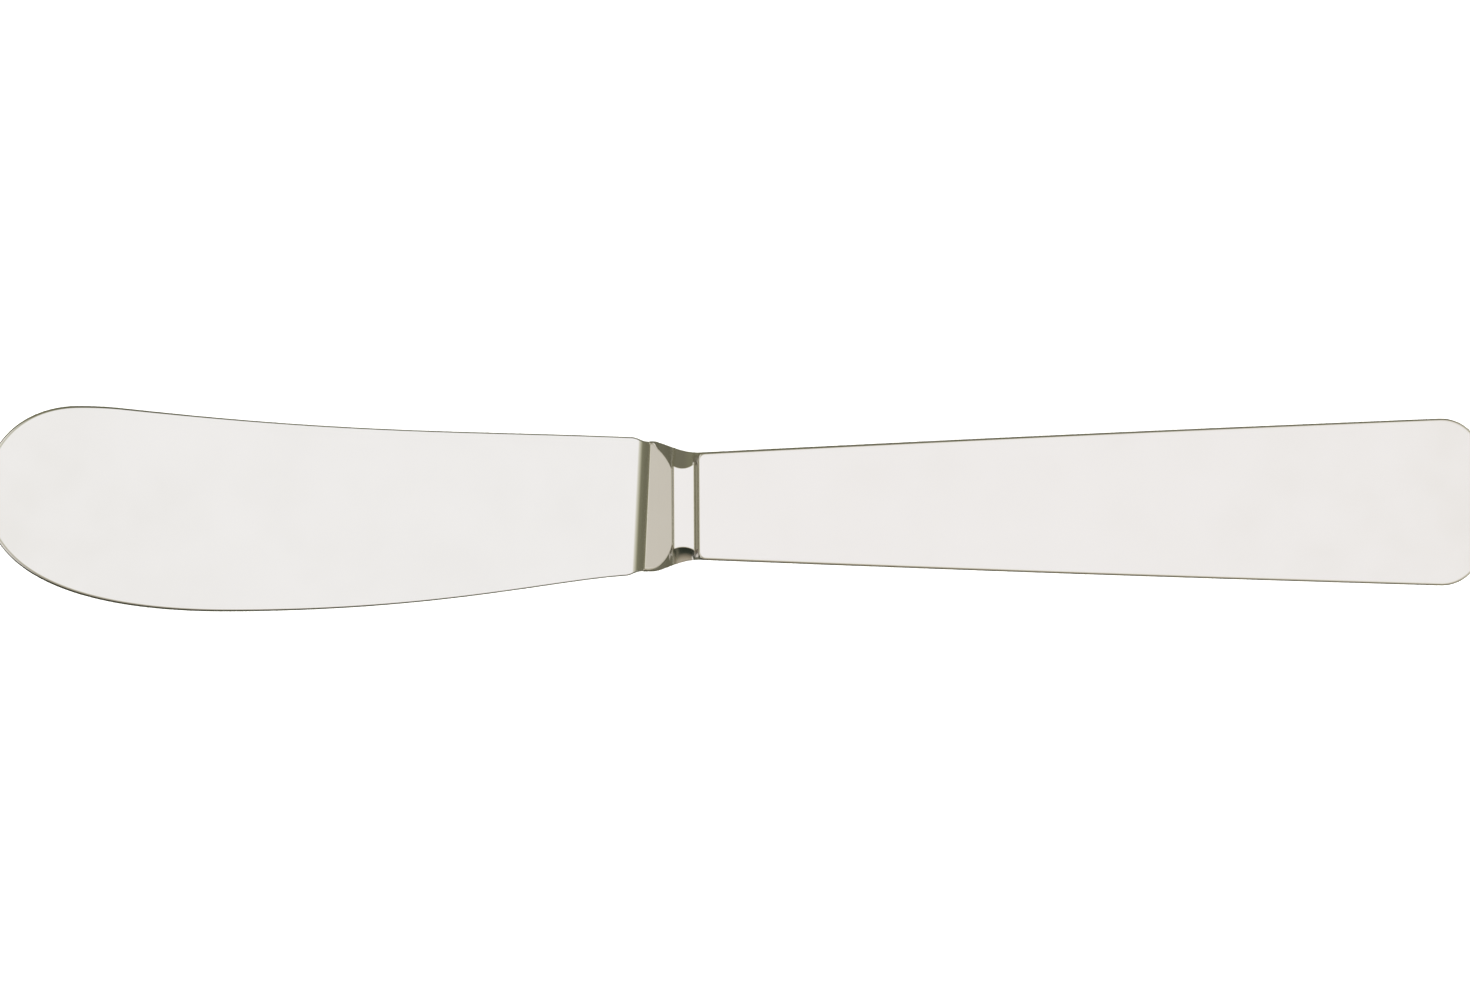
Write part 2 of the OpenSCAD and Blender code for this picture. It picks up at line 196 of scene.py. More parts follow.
class BladeSizes(bpy.types.PropertyGroup):
    """Sizes of the forged blade and its tang."""
    blade_l: length("Length", "From the tip to the mouth of the handle", 75.35)
    heel_rise: length("Heel Rise", "Height of the spine over the centre line at the heel", 7.9)
    heel_drop: length("Heel Drop", "Depth of the edge under the centre line at the heel", 7.9)
    heel_l: length("Heel", "Length of the rounded heel beside the mouth", 2.25)
    crown_rise: length("Crown Rise", "Height of the spine's highest point", 11.8)
    crown_l: length("Crown Distance", "Distance of the crown from the tip", 10.7)
    shoulder_l: length("Shoulder Distance", "Where the spine begins to curve up to the crown", 16)
    shoulder_drop: length("Shoulder Drop", "Height of the crown over that shoulder", 0.31)
    belly_drop: length("Belly Drop", "Depth of the edge's lowest point", 11.7)
    belly_l: length("Belly Distance", "Distance of the belly from the tip", 28)
    tip_rise: length("Tip Rise", "Height of the tip over the centre line", 1.8)
    spine_t: length("Spine Thickness", "Thickness of the spine at the heel", 1.8)
    edge_t: length("Edge Thickness", "Thickness of the dull edge at the heel", 0.7)
    tip_t: length("Tip Thickness", "Thickness of the blade at its tip", 0.9)
    rim_w: length("Rim Width", "Width over which spine and edge are rounded off at the heel", 0.15)
    tip_rim_w: length("Tip Rim Width", "The same width at the tip", 0.55)
    root_l: length("Root Length", "Where the blade thickens towards the handle", 1.35)
    root_t: length("Root Thickness", "Thickness where the root meets the handle", 3.2)
    tang_l: length("Tang Length", "Length of the tang inside the handle", 46)
    tang_end_w: length("Tang End", "Width of the tang at its end", 5)
    notch_pitch: length("Notch Pitch", "Distance between the pairs of notches", 12)
    notch_r: length("Notch Radius", "Radius of each notch", 0.9)


class HandleSizes(bpy.types.PropertyGroup):
    """Sizes of the handle's two pressed halves and what fills them."""
    handle_l: length("Length", "From the mouth of the handle to its butt", 94.65)
    handle_t: length("Thickness", "Thickness over the two flat faces", 6)
    butt_w: length("Butt Width", "Width of the handle at its butt", 18.9)
    side_bow: length("Side Bow", "Outward bow of the handle's sides", 0.12)
    butt_corner_r: length("Corner Radius", "Radius of the two corners of the butt", 4.6)
    butt_end_r: length("End Radius", "Radius of the slight bow across the butt", 90)
    face_edge_w: length("Rim Width", "Width of the rounded rims beside the faces, at the neck", 0.32)
    butt_edge_w: length("Butt Rim Width", "The same width at the butt", 0.25)
    face_corner_r: length("Face Corner", "Radius of the face's corners at the neck", 0.7)
    wall_t: length("Wall", "Thickness of the pressed sheet", 0.8)
    seam_t: length("Seam", "Thickness of the solder between the rims", 0.12)
    seam_sink: length("Seam Sink", "How far the solder lies in from the sides", 0.02)
    cavity_side_h: length("Cavity Side", "Least height of the cavity's upright sides", 0.25)
    cavity_edge_w: length("Cavity Corner", "Width of the cavity's rounded corners", 0.3)
    tang_cover: length("Tang Cover", "Cement over and under the tang in the neck", 0.2)
    tang_side_gap: length("Tang Side Gap", "Cement beside the tang in the neck", 1.3)
    mouth_gap: length("Mouth Gap", "Clearance round the tang in the mouth", 0.1)


class NeckSizes(bpy.types.PropertyGroup):
    """Sizes of the collar, the pad, the scallops and the riser behind them."""
    collar_w: length("Collar Width", "Width of the collar at the mouth", 14.74)
    collar_t: length("Collar Thickness", "Thickness of the collar at its crest", 5.6)
    collar_l: length("Collar Length", "Length before the sides draw in", 0.85)
    collar_edge_w: length("Collar Rim", "Width of the collar's rounded rim", 0.35)
    collar_fade_l: length("Collar Fade", "Where the mouth's lean and the round rim end", 1.4)
    mouth_slant: angle("Mouth Slant", "Angle by which the mouth leans", 3)
    crest_l: length("Crest", "Distance of the crest from the mouth", 0.15)
    pad_w: length("Pad Width", "Width of the rounded pad behind the crest", 14.6)
    pad_end_w: length("Pad End Width", "Width of the pad where its corners end", 8)
    pad_l: length("Pad Length", "From the mouth to the end of the pad", 2.9)
    pad_slope: angle("Pad Slope", "Downward slope of the pad", 11)
    pad_step_l: length("Pad Step", "Length of the step from the pad to the neck", 0.2)
    neck_t: length("Neck Thickness", "Thickness of the neck over its flats", 4.2)
    neck_l: length("Neck Length", "From the mouth to the foot of the riser", 5.4)
    neck_flat_w: length("Flat Width", "Width of the flats at their narrowest", 8.6)
    scallop_r: length("Scallop Radius", "Radius of the scallops, seen from above", 2)
    scallop_l: length("Scallop Distance", "Deepest place of the scallops", 4.1)
    scallop_slope: angle("Scallop Slope", "Angle between a scallop and the flat", 34)
    riser_l: length("Riser Length", "Length of the step up to the handle's face", 0.4)
    riser_round: length("Riser Rounding", "Rounding at the top of that step", 0.1)
    waist_w: length("Waist Width", "Width of the handle at its narrowest", 12.16)
    waist_l: length("Waist Distance", "Narrowest place of the handle", 6.05)
    side_h: length("Side Height", "Least height of the handle's upright sides", 0.35)
    softness: length("Softness", "Reach over which buffing has rounded the creases", 0.06)


class Finishes(bpy.types.PropertyGroup):
    """Colours of the metals, the filling and the studio."""
    steel: colour("Steel", "Polished stainless steel", "#E8E6E4")
    # Tarnish and painted shade: a darker, yellower tone laid on the rims and in the creases
    silver: colour("Silver", "Buffed silver plate", "#E7E4E2")
    tarnish_and_shade: colour("Tarnish", "Silver plate in its creases and along its rims", "#DAD6CA")
    solder: colour("Solder", "Silver solder", "#C2BDB0")
    cement: colour("Cement", "Rosin and brick dust", "#8A6A55")
    paper: colour("Paper", "Matte background paper", "#FFFFFF")


class KnifeSettings(bpy.types.PropertyGroup):
    """Everything that a user can change about the knife."""
    blade: PointerProperty(type=BladeSizes, name="Blade", description="Sizes of the blade")
    handle: PointerProperty(type=HandleSizes, name="Handle", description="Sizes of the handle")
    neck: PointerProperty(type=NeckSizes, name="Neck", description="Sizes of the neck")
    finish: PointerProperty(type=Finishes, name="Finish", description="Colours of the surfaces")


def lerp(a, b, share):
    return a + (b - a) * share


def wave(share):
    """Rises from 0 to 1, level at both ends."""
    return share * share * (3 - 2 * share)


def lookup(x, table):
    """Reads a table of places and values, with straight lines between them."""
    for (x0, y0), (x1, y1) in zip(table, table[1:]):
        if x <= x1:
            return lerp(y0, y1, max(0, x - x0) / (x1 - x0))
    return table[-1][1]


def softened(curve, x, reach):
    """The curve's mean round x, which rounds its corners as buffing does."""
    return sum(curve(x + share * reach) for share in SOFTENING_SHARES) / len(SOFTENING_SHARES)


def lerp_point(a, b, share):
    return tuple(lerp(m, n, share) for m, n in zip(a, b))


def bezier(points, share):
    """A point on the curve of any number of control points."""
    while len(points) > 1:
        points = [lerp_point(a, b, share) for a, b in zip(points, points[1:])]
    return points[0]


def curve_points(points, steps):
    """Points along a curve. The first is left out: the stretch before ends there."""
    return [bezier(points, (i + 1) / steps) for i in range(steps)]


def between(a, b, steps):
    """Values from a to b, without a itself."""
    return [lerp(a, b, (i + 1) / steps) for i in range(steps)]


def arc(x, y, radius, start, end, steps):
    """Points round a centre, with both ends."""
    turns = [start] + between(start, end, steps)
    return [(x + radius * math.cos(turn), y + radius * math.sin(turn)) for turn in turns]


def mouth_x(y, knife):
    """The mouth is a plane across the knife that leans."""
    return y * math.tan(knife.neck.mouth_slant)


def from_mouth(distance, y, knife):
    return (mouth_x(y, knife) - distance, y)


def heel_curve(knife, side):
    """From the mouth round the heel: side is 1 at the spine and -1 at the edge."""
    blade = knife.blade
    mouth_y = side * knife.neck.collar_w / 2
    heel_y = blade.heel_rise if side > 0 else -blade.heel_drop
    near, far = HEEL_HANDLE_SHARES
    points = [from_mouth(blade.heel_l * share, y, knife)
              for share, y in ((0, mouth_y), (near, mouth_y), (far, heel_y), (1, heel_y))]
    return [points[0]] + curve_points(points, HEEL_STEPS)


def spine_curve(knife, shoulder, crown):
    """From the heel along the spine to the shoulder, and over it to the crown."""
    heel = from_mouth(knife.blade.heel_l, knife.blade.heel_rise, knife)
    span = heel[0] - shoulder[0]
    # The bend's handles point at the place where its two ends' directions meet
    bend = ((shoulder[0] + crown[0]) / 2, crown[1])
    fall = (crown[1] - shoulder[1]) / (shoulder[0] - bend[0])
    reach = span * SPINE_HANDLE_SHARES[1]
    spine = [heel,
             (heel[0] - span * SPINE_HANDLE_SHARES[0], lerp(heel[1], shoulder[1], SPINE_RISE_SHARE)),
             (shoulder[0] + reach, shoulder[1] - fall * reach),
             shoulder]
    rise = [shoulder, lerp_point(shoulder, bend, CROWN_HANDLE_SHARE),
            lerp_point(crown, bend, CROWN_HANDLE_SHARE), crown]
    return curve_points(spine, SPINE_STEPS) + curve_points(rise, CROWN_STEPS)


def edge_curve(knife, belly):
    """From the heel along the edge to the belly."""
    heel = from_mouth(knife.blade.heel_l, -knife.blade.heel_drop, knife)
    span = heel[0] - belly[0]
    points = [heel, (heel[0] - span * EDGE_HANDLE_SHARES[0], lerp(heel[1], belly[1], EDGE_DROP_SHARE)),
              (belly[0] + span * EDGE_HANDLE_SHARES[1], belly[1]), belly]
    return curve_points(points, EDGE_STEPS)


def end_curve(start, tip, handle_shares):
    """From the crown or the belly round to the tip."""
    points = [start, (lerp(start[0], tip[0], handle_shares[0]), start[1]),
              (tip[0], lerp(tip[1], start[1], handle_shares[1])), tip]
    return curve_points(points, NOSE_STEPS)


def blade_outline(knife):
    """The outline from the mouth by the spine to the tip, and back by the edge."""
    blade = knife.blade
    tip = (-blade.blade_l, blade.tip_rise)
    crown = (blade.crown_l - blade.blade_l, blade.crown_rise)
    shoulder = (blade.shoulder_l - blade.blade_l, blade.crown_rise - blade.shoulder_drop)
    belly = (blade.belly_l - blade.blade_l, -blade.belly_drop)
    spine_rail = (heel_curve(knife, 1) + spine_curve(knife, shoulder, crown)
                  + end_curve(crown, tip, NOSE_HANDLE_SHARES))
    edge_rail = (heel_curve(knife, -1) + edge_curve(knife, belly)
                 + end_curve(belly, tip, CHIN_HANDLE_SHARES))
    return spine_rail + edge_rail[-2::-1]


def inward_directions(outline, slant):
    """Unit vectors into an outline that runs anticlockwise, seen from above."""
    directions = [(-math.sin(slant), -math.cos(slant))]
    for before, after in zip(outline, outline[2:]):
        dx, dy = after[0] - before[0], after[1] - before[1]
        span = math.hypot(dx, dy)
        directions.append((-dy / span, dx / span))
    return directions + [(math.sin(slant), math.cos(slant))]


def root_share(distance, root_l):
    """How far the root has thickened: a fillet and then a straight slope."""
    share = 1 - min(1, max(0, distance / root_l))
    # The fillet's slope grows from none to that of the straight part
    fillet_rise = ROOT_FILLET_SHARE / ROOT_FILLET_POWER
    if share < ROOT_FILLET_SHARE:
        rise = fillet_rise * (share / ROOT_FILLET_SHARE) ** ROOT_FILLET_POWER
    else:
        rise = fillet_rise + share - ROOT_FILLET_SHARE
    return rise / (fillet_rise + 1 - ROOT_FILLET_SHARE)


def blade_columns(knife):
    """A column of points at each place of the outline, from back to front."""
    blade = knife.blade
    outline = blade_outline(knife)
    inward = inward_directions(outline, knife.neck.mouth_slant)
    last_of_spine = (len(outline) - 1) // 2
    turns = [lerp(-math.pi / 2, math.pi / 2, k / BLADE_RIM_STEPS) for k in range(BLADE_RIM_STEPS + 1)]
    columns = []
    for i, ((x, y), (inward_x, inward_y)) in enumerate(zip(outline, inward)):
        away = mouth_x(y, knife) - x
        heel_t = blade.spine_t if i <= last_of_spine else blade.edge_t
        plain_t = lerp(heel_t, blade.tip_t, away / blade.blade_l)
        half = lerp(plain_t, blade.root_t, root_share(away, blade.root_l)) / 2
        power = TIP_RIM_POWERS[0] if i <= last_of_spine else TIP_RIM_POWERS[1]
        rim_w = lerp(blade.rim_w, blade.tip_rim_w, max(0, away / blade.blade_l) ** power)
        insets = [rim_w * (1 - math.cos(turn)) for turn in turns]
        columns.append([(x + inward_x * inset, y + inward_y * inset, half * math.sin(turn))
                        for inset, turn in zip(insets, turns)])
    return columns


def tang_thickness(knife):
    return knife.neck.neck_t - 2 * knife.handle.wall_t - 2 * knife.handle.tang_cover


def tang_width(knife):
    return knife.neck.waist_w - 2 * knife.handle.wall_t - 2 * knife.handle.tang_side_gap


def tang_side(knife):
    """One side of the tang's outline, from the mouth to its end, with the notches."""
    blade = knife.blade
    half_w = tang_width(knife) / 2
    end_r = blade.tang_end_w / 2
    end_x = blade.tang_l - end_r
    # The side touches the round end where both have this direction outward
    tilt = math.atan2(end_x, half_w) + math.asin(end_r / math.hypot(end_x, half_w))
    points = [(0, half_w)]
    for i in range(NOTCH_PAIRS):
        notch_x = blade.notch_pitch * (NOTCH_START_SHARE + i)
        points += arc(notch_x, half_w - notch_x / math.tan(tilt), blade.notch_r,
                      tilt + math.pi / 2, tilt + 1.5 * math.pi, NOTCH_STEPS)
    return points + arc(end_x, 0, end_r, tilt, 0, TANG_END_STEPS)


class HandleForm:
    """The shape of one half of the handle, worked out from its sizes."""

    def __init__(self, knife):
        self.knife, self.handle, self.neck = knife, knife.handle, knife.neck
        handle, neck = self.handle, self.neck
        # Centres of the butt's corners and of the bow between them
        bow_r = handle.butt_end_r - handle.butt_corner_r
        self.corner_y = handle.butt_w / 2 - handle.butt_corner_r
        self.end_x = handle.handle_l - handle.butt_end_r
        self.corner_x = self.end_x + math.sqrt(bow_r ** 2 - self.corner_y ** 2)
        self.end_turn = math.asin(self.corner_y / bow_r)
        # Heights of the face along the handle, outside and in the cavity
        crest_z, neck_z, face_z = neck.collar_t / 2, neck.neck_t / 2, handle.handle_t / 2
        pad_end_z = crest_z - (neck.pad_l - neck.crest_l) * math.tan(neck.pad_slope)
        self.riser_top = neck.neck_l + neck.riser_l
        self.riser_end = self.riser_top + 2 * neck.riser_round
        riser = [(lerp(neck.neck_l, self.riser_end, share), lerp(neck_z, face_z, wave(share)))
                 for share in between(0, 1, RISER_STEPS)]
        self.face_heights = [
            (0, crest_z - neck.crest_l), (neck.crest_l, crest_z), (neck.pad_l, pad_end_z),
            (neck.pad_l + neck.pad_step_l, neck_z), (neck.neck_l, neck_z)] + riser
        self.cavity_heights = [
            (neck.neck_l + handle.wall_t, neck_z - handle.wall_t),
            (self.riser_end + handle.wall_t, face_z - handle.wall_t)]
        # The rim is round at the collar and along the grip, and flat at a scallop
        self.roundness = [(neck.crest_l, 1), (neck.collar_fade_l, 0), (neck.neck_l, 0), (self.riser_top, 1)]
        # The scallops are hollowed from the end of the pad on
        self.hollow_shares = [(neck.pad_l, 0), (neck.pad_l + HOLLOW_START_STEPS * neck.pad_step_l, 1)]
        # The mouth's lean dies away behind the crest
        self.lean_shares = [(neck.crest_l, 1), (neck.collar_fade_l, 0)]
        # The slot that lets the tang in
        self.slot_half_w = tang_width(knife) / 2 + handle.mouth_gap
        self.slot_half_h = tang_thickness(knife) / 2 + handle.mouth_gap

    def half_w(self, x):
        """Half the width of the handle: collar, waist and then a bowed widening."""
        neck = self.neck
        if x < neck.waist_l:
            share = max(0, (x - neck.collar_l) / (neck.waist_l - neck.collar_l))
            drawn_in = (1 - math.cos(math.pi * share ** WAIST_POWER)) / 2
            return lerp(neck.collar_w, neck.waist_w, drawn_in) / 2
        share = (x - neck.waist_l) / (self.corner_x - neck.waist_l)
        bow = self.handle.side_bow * math.sin(math.pi * share)
        return lerp(neck.waist_w, self.handle.butt_w, share) / 2 + bow

    def pad_half_w(self, x, side):
        neck = self.neck
        power = PAD_POWERS[0] if side > 0 else PAD_POWERS[1]
        share = min(1, max(0, x / neck.pad_l))
        return lerp(neck.pad_end_w, neck.pad_w, (1 - share ** power) ** (1 / power)) / 2

    def flat_half_w(self, x, side):
        neck = self.neck
        least, radius = neck.neck_flat_w / 2, neck.scallop_r
        if side < 0:
            least, radius = least * EDGE_FLAT_SHARE, radius * EDGE_SCALLOP_SHARE
        return least + radius - math.sqrt(max(0, radius ** 2 - (x - neck.scallop_l) ** 2))

    def grip_half_w(self, x):
        """Half the width of the long face, whose corners at the neck are round."""
        corner_r = self.handle.face_corner_r
        short = max(0, min(corner_r, self.riser_end + corner_r - x))
        waist_l = self.neck.waist_l
        edge_w = lerp(self.handle.face_edge_w, self.handle.butt_edge_w,
                      max(0, x - waist_l) / (self.corner_x - waist_l))
        return self.half_w(x) - edge_w - corner_r + math.sqrt(corner_r ** 2 - short ** 2)

    def neck_half_w(self, x, side):
        """Half the width of the pad and of the flat between the scallops."""
        neck = self.neck
        if x <= neck.pad_l:
            face = self.pad_half_w(x, side)
        else:
            down = min(1, (x - neck.pad_l) / neck.pad_step_l)
            face = lerp(neck.pad_end_w / 2, self.flat_half_w(x, side), down)
        return min(self.half_w(x) - neck.collar_edge_w, face)

    def face_half_w(self, x, side):
        """Half the width of the face. Side is 1 at the spine and -1 at the edge."""
        neck = self.neck
        if x <= neck.neck_l:
            return self.neck_half_w(x, side)
        share = min(1, (x - neck.neck_l) / neck.riser_l)
        return lerp(self.neck_half_w(neck.neck_l, side), self.grip_half_w(x), share)

    def outer_rim(self, x, side, reach):
        """Lower end of the rim, and how far in and how high its upper end is."""
        top = softened(lambda place: lookup(place, self.face_heights), x, reach)
        inset = self.half_w(x) - softened(lambda place: self.face_half_w(place, side), x, reach)
        low = max(top - inset * math.tan(self.neck.scallop_slope), self.neck.side_h)
        return low, inset, top

    def outer_section(self, x, side):
        """The section of the half shell at x, from the seam up and in to the face."""
        reach = self.neck.softness
        blur = BLUR_SHARE * reach
        _, inset, top = self.outer_rim(x, side, reach)
        low, even_inset, even_top = self.outer_rim(x, side, blur)
        roundness = softened(lambda place: lookup(place, self.roundness), x, blur)
        hollow = softened(lambda place: lookup(place, self.hollow_shares), x, blur) * (1 - roundness)
        hollow *= SCALLOP_DISH_SHARES[0] if side > 0 else SCALLOP_DISH_SHARES[1]

        def rim(share):
            # The rim runs evenly along the handle and is crisp only at its upper end
            turn = share * math.pi / 2
            crisp = share * share
            across = lerp(even_inset, inset, crisp)
            dish = across * hollow * share * (1 - share ** SCALLOP_DISH_POWER)
            return (across * lerp(share, 1 - math.cos(turn), roundness),
                    lerp(low, lerp(even_top, top, crisp), lerp(share, math.sin(turn), roundness)) - dish)

        near = reach / math.hypot(inset, top - low)
        foot = [(0, low - reach), (0, low), rim(near)]
        brow = [rim(1 - near), (inset, top), (inset + reach, top)]
        calm = (inset + CALM_SHARE * reach, top)
        rise = between(near, 1 - near, HANDLE_RIM_STEPS)[:-1]
        return ([(0, self.handle.seam_t / 2), foot[0]] + curve_points(foot, CREASE_STEPS)
                + [rim(share) for share in rise] + [brow[0]] + curve_points(brow, CREASE_STEPS) + [calm])

    def cavity_section(self, x, side):
        """The section of the cavity at x, which keeps the wall's thickness."""
        low, inset, top = self.outer_rim(x, side, self.neck.softness)
        handle = self.handle
        half_w = self.half_w(x)
        slope = math.atan2(top - low, inset)
        height = lookup(x, self.cavity_heights)
        plane = (half_w - inset) * math.sin(slope) + top * math.cos(slope) - handle.wall_t
        wide = min(half_w - handle.wall_t,
                   (plane - handle.cavity_side_h * math.cos(slope)) / math.sin(slope))
        side_z = min((plane - wide * math.sin(slope)) / math.cos(slope), height - handle.cavity_edge_w)
        edge = min((plane - height * math.cos(slope)) / math.sin(slope), wide - handle.cavity_edge_w)
        return [(half_w - wide, handle.seam_t / 2), (half_w - wide, side_z), (half_w - edge, height)]

    def places(self, xs):
        """Each place of the outline: its x and y, the direction in, and its section's x."""
        edge_side = [(x, -self.half_w(x), 0, 1, x) for x in xs]
        corner = between(-math.pi / 2, -self.end_turn, CORNER_STEPS)
        bow = between(-self.end_turn, 0, END_STEPS)
        for x, y, radius, turns in ((self.corner_x, -self.corner_y, self.handle.butt_corner_r, corner),
                                    (self.end_x, 0, self.handle.butt_end_r, bow)):
            edge_side += [(x + radius * math.cos(turn), y + radius * math.sin(turn),
                           -math.cos(turn), -math.sin(turn), self.corner_x) for turn in turns]
        spine_side = [(x, -y, in_x, -in_y, section) for x, y, in_x, in_y, section in edge_side]
        return edge_side + spine_side[-2::-1]

    def leaned(self, x, y, z):
        return (x + mouth_x(y, self.knife) * lookup(x, self.lean_shares), y, z)

    def columns(self, start, section_at):
        """A column of points at each place of the handle's outline, from that x on."""
        neck_end = self.riser_end + self.handle.face_corner_r
        xs = [start] + between(start, neck_end, NECK_STEPS)
        xs += between(neck_end, self.corner_x, GRIP_STEPS)
        return [[self.leaned(x + in_x * inset, y + in_y * inset, z)
                 for inset, z in section_at(section_x, math.copysign(1, y))]
                for x, y, in_x, in_y, section_x in self.places(xs)]

    def outer_columns(self):
        return self.columns(0, self.outer_section)

    def cavity_columns(self):
        """Columns that face the outer ones through the wall."""
        return self.columns(self.handle.wall_t, self.cavity_section)

    def slot_corners(self, x, z):
        """The edge side's and the spine side's corner of the slot, at that depth."""
        return [self.leaned(x, side * self.slot_half_w, z) for side in (-1, 1)]


class Skin:
    """Collects the points and faces of a mesh."""

    def __init__(self):
        self.points = []
        self.faces = []

    def add(self, points):
        """Adds points and gives their numbers."""
        first = len(self.points)
        self.points.extend(points)
        return list(range(first, len(self.points)))

    def face(self, corners, turned=False):
        self.faces.append(corners[::-1] if turned else corners)

    def ribbon(self, row, beside, turned=False):
        """Quads between two rows of points."""
        for a, b, c, d in zip(row, row[1:], beside[1:], beside):
            self.face([a, b, c, d], turned)

    def wall(self, columns, turned=False):
        """Quads between the columns round an outline, with the outline on the right."""
        for column, following in zip(columns, columns[1:]):
            self.ribbon(following, column, turned)

    def lid(self, rim, turned=False):
        """Faces across an outline, between the mates on its two sides."""
        end = len(rim) - 1
        half = end // 2
        for i in range(half - 1):
            self.face([rim[i], rim[i + 1], rim[end - i - 1], rim[end - i]], turned)
        self.face([rim[half - 1], rim[half], rim[half + 1]], turned)


def blade_skin(knife):
    """Leaf, root and tang in one skin."""
    skin = Skin()
    columns = [skin.add(column) for column in blade_columns(knife)]
    skin.wall(columns)
    skin.lid([column[-1] for column in columns])
    skin.lid([column[0] for column in columns], turned=True)
    side = tang_side(knife)
    outline = [(x, -y) for x, y in side] + side[-2::-1]
    for end in (0, -1):
        outline[end] = from_mouth(0, outline[end][1], knife)
    half_t = tang_thickness(knife) / 2
    low, high = [skin.add([(x, y, z) for x, y in outline]) for z in (-half_t, half_t)]
    skin.ribbon(low, high)
    skin.face(high)
    skin.face(low, turned=True)
    # The end of the root is a ring round the tang
    spine_end, edge_end = columns[0], columns[-1]
    middle = len(spine_end) // 2
    skin.face([edge_end[middle], high[0], high[-1]] + spine_end[middle:] + edge_end[:middle:-1])
    skin.face(edge_end[middle::-1] + spine_end[:middle + 1] + [low[-1], low[0]])
    skin.face([edge_end[middle], low[0], high[0]])
    skin.face([spine_end[middle], high[-1], low[-1]])
    return skin


def half_shell_skin(knife):
    """The front half of the handle, with its cavity and the slot for the tang."""
    form = HandleForm(knife)
    skin = Skin()
    outer = [skin.add(column) for column in form.outer_columns()]
    cavity = [skin.add(column) for column in form.cavity_columns()]
    skin.wall(outer)
    skin.lid([column[-1] for column in outer])
    skin.wall(cavity, turned=True)
    skin.lid([column[-1] for column in cavity], turned=True)
    skin.ribbon([column[0] for column in cavity], [column[0] for column in outer])
    # The slot is a notch in the end wall
    wall_t, seam_z = knife.handle.wall_t, knife.handle.seam_t / 2
    out_low, out_high, in_low, in_high = [skin.add(form.slot_corners(x, z)) for x in (0, wall_t)
                                          for z in (seam_z, form.slot_half_h)]
    skin.face([outer[0][0], out_low[0], in_low[0], cavity[0][0]])
    skin.face([outer[-1][0], cavity[-1][0], in_low[1], out_low[1]])
    skin.face(outer[0] + outer[-1][::-1] + [out_low[1], out_high[1], out_high[0], out_low[0]])
    skin.face([in_low[0], in_high[0], in_high[1], in_low[1]] + cavity[-1] + cavity[0][::-1])
    skin.face([out_high[0], out_high[1], in_high[1], in_high[0]])
    skin.face([out_low[0], out_high[0], in_high[0], in_low[0]])
    skin.face([out_low[1], in_low[1], in_high[1], out_high[1]])
    return skin


def mirrored(skin):
    """The same skin on the other side of the middle plane."""
    other = Skin()
    other.add([(x, y, -z) for x, y, z in skin.points])
    for corners in skin.faces:
        other.face(corners, turned=True)
    return other


def seam_skin(knife):
    """The film of solder between the two rims, open where the tang goes in."""
    form = HandleForm(knife)
    skin = Skin()
    wall_t, half_t = knife.handle.wall_t, knife.handle.seam_t / 2
    cavity = [column[0] for column in form.cavity_columns()]
    outer = [lerp_point(column[0], facing, knife.handle.seam_sink / wall_t)
             for column, facing in zip(form.outer_columns(), cavity)]
    rows = []
    for line, depth, z in ((outer, 0, -half_t), (outer, 0, half_t),
                           (cavity, wall_t, half_t), (cavity, wall_t, -half_t)):
        edge_corner, spine_corner = form.slot_corners(depth, z)
        rows.append(skin.add([edge_corner] + [(x, y, z) for x, y, _ in line] + [spine_corner]))
    for row, beside in zip(rows, rows[1:] + rows[:1]):
        skin.ribbon(row, beside)
    skin.face([row[0] for row in rows])
    skin.face([row[-1] for row in rows], turned=True)
    return skin


def wear_and_shade_places(mesh):
    """Stores how sharply the surface bends at each point: there it is rubbed, and on the silver plate it
    gets painted shade.
    """
    shape = bmesh.new()
    shape.from_mesh(mesh)
    bend = [0.0] * len(shape.verts)
    for edge in shape.edges:
        if len(edge.link_faces) == 2:
            here, there = [face.calc_center_median() for face in edge.link_faces]
            span = (here - there).length
            for vert in edge.verts:
                bend[vert.index] = max(bend[vert.index], edge.calc_face_angle(0) / max(span, MM * MM))
    shape.free()
    worn = mesh.attributes.new("wear_and_shade", "FLOAT", "POINT")
    worn.data.foreach_set("value", [min(1, b * WEAR_AND_SHADE_RADIUS) for b in bend])


def add_piece(context, name, skin, material, nodes):
    """Makes an object of a skin, which stands for CAD nodes and rides on the knife."""
    knife = context.scene.butter_knife
    middle = (knife.blade.blade_l - (knife.blade.blade_l + knife.handle.handle_l) / 2,
              (knife.blade.belly_drop - knife.blade.crown_rise) / 2, knife.handle.handle_t / 2)
    mesh = bpy.data.meshes.new(name)
    mesh.from_pydata([[a + b for a, b in zip(point, middle)] for point in skin.points], [], skin.faces)
    mesh.shade_smooth()
    mesh.set_sharp_from_angle(angle=SHARP_ANGLE)
    wear_and_shade_places(mesh)
    mesh.materials.append(material)
    piece = bpy.data.objects.new(name, mesh)
    context.scene.collection.objects.link(piece)
    normals = piece.modifiers.new("Flat faces stay flat", "WEIGHTED_NORMAL")
    normals.keep_sharp = True
    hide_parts(*nodes)
    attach(piece, BODY)
    return piece


def add_node(tree, kind, links=None, values=None, **settings):
    """Adds a node with its settings, its values and the nodes or outputs that feed it."""
    node = tree.nodes.new(kind)
    for name, setting in settings.items():
        setattr(node, name, setting)
    for socket, value in (values or {}).items():
        node.inputs[socket].default_value = value
    for socket, source in (links or {}).items():
        output = source.outputs[0] if isinstance(source, bpy.types.Node) else source
        tree.links.new(output, node.inputs[socket])
    return node


def new_material(name):
    """An empty material and its tree, with the position on the object in metres."""
    material = bpy.data.materials.new(name)
    material.use_nodes = True
    tree = material.node_tree
    tree.nodes.clear()
    place = add_node(tree, "ShaderNodeTexCoord").outputs["Object"]
    return material, tree, place


